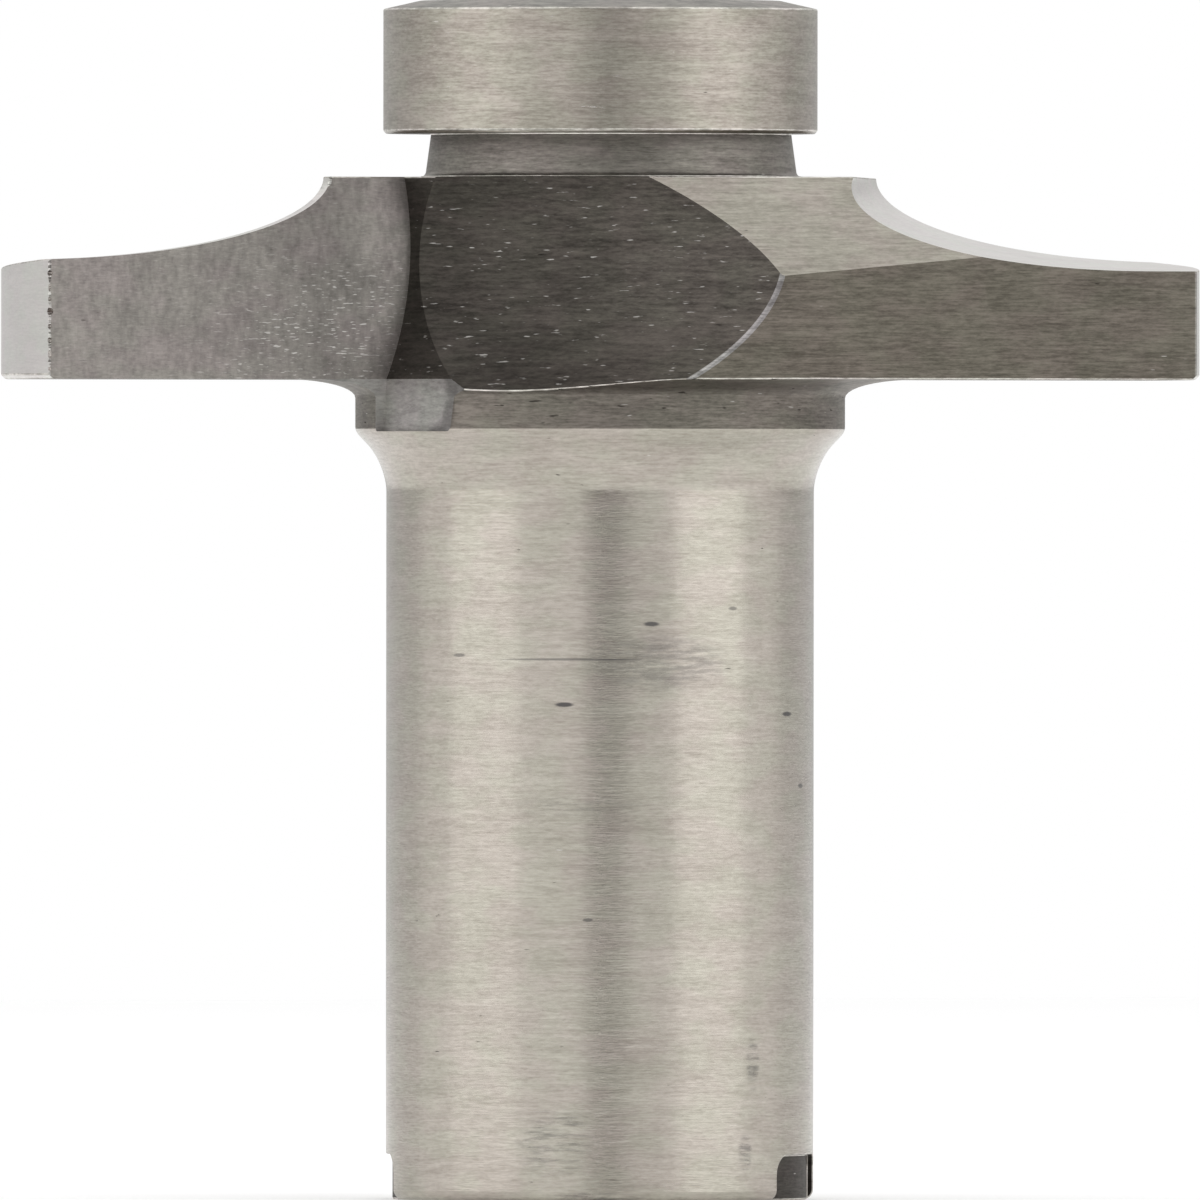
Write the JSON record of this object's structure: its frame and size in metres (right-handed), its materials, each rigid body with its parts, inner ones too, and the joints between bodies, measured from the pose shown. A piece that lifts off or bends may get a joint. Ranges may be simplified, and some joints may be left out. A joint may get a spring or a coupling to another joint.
{
  "type": "router bit",
  "caption": "One-piece steel router bit with a plain shank, opposed wings ground to a concave corner profile, an undercut neck and a solid pilot.",
  "frame": {"origin": "centre of the shank's end face", "axes": "+Z along the tool's axis from the shank's end to the pilot, X through the cutting edges of the wings, +Y the way that the rake face of the wing on +X looks"},
  "size_m": [0.0356, 0.0178, 0.0356],
  "materials": {
    "tool_steel": "ground and milled, worn"
  },
  "bodies": {
    "root": {"router_bit": "tool_steel"}
  },
  "joints": []
}
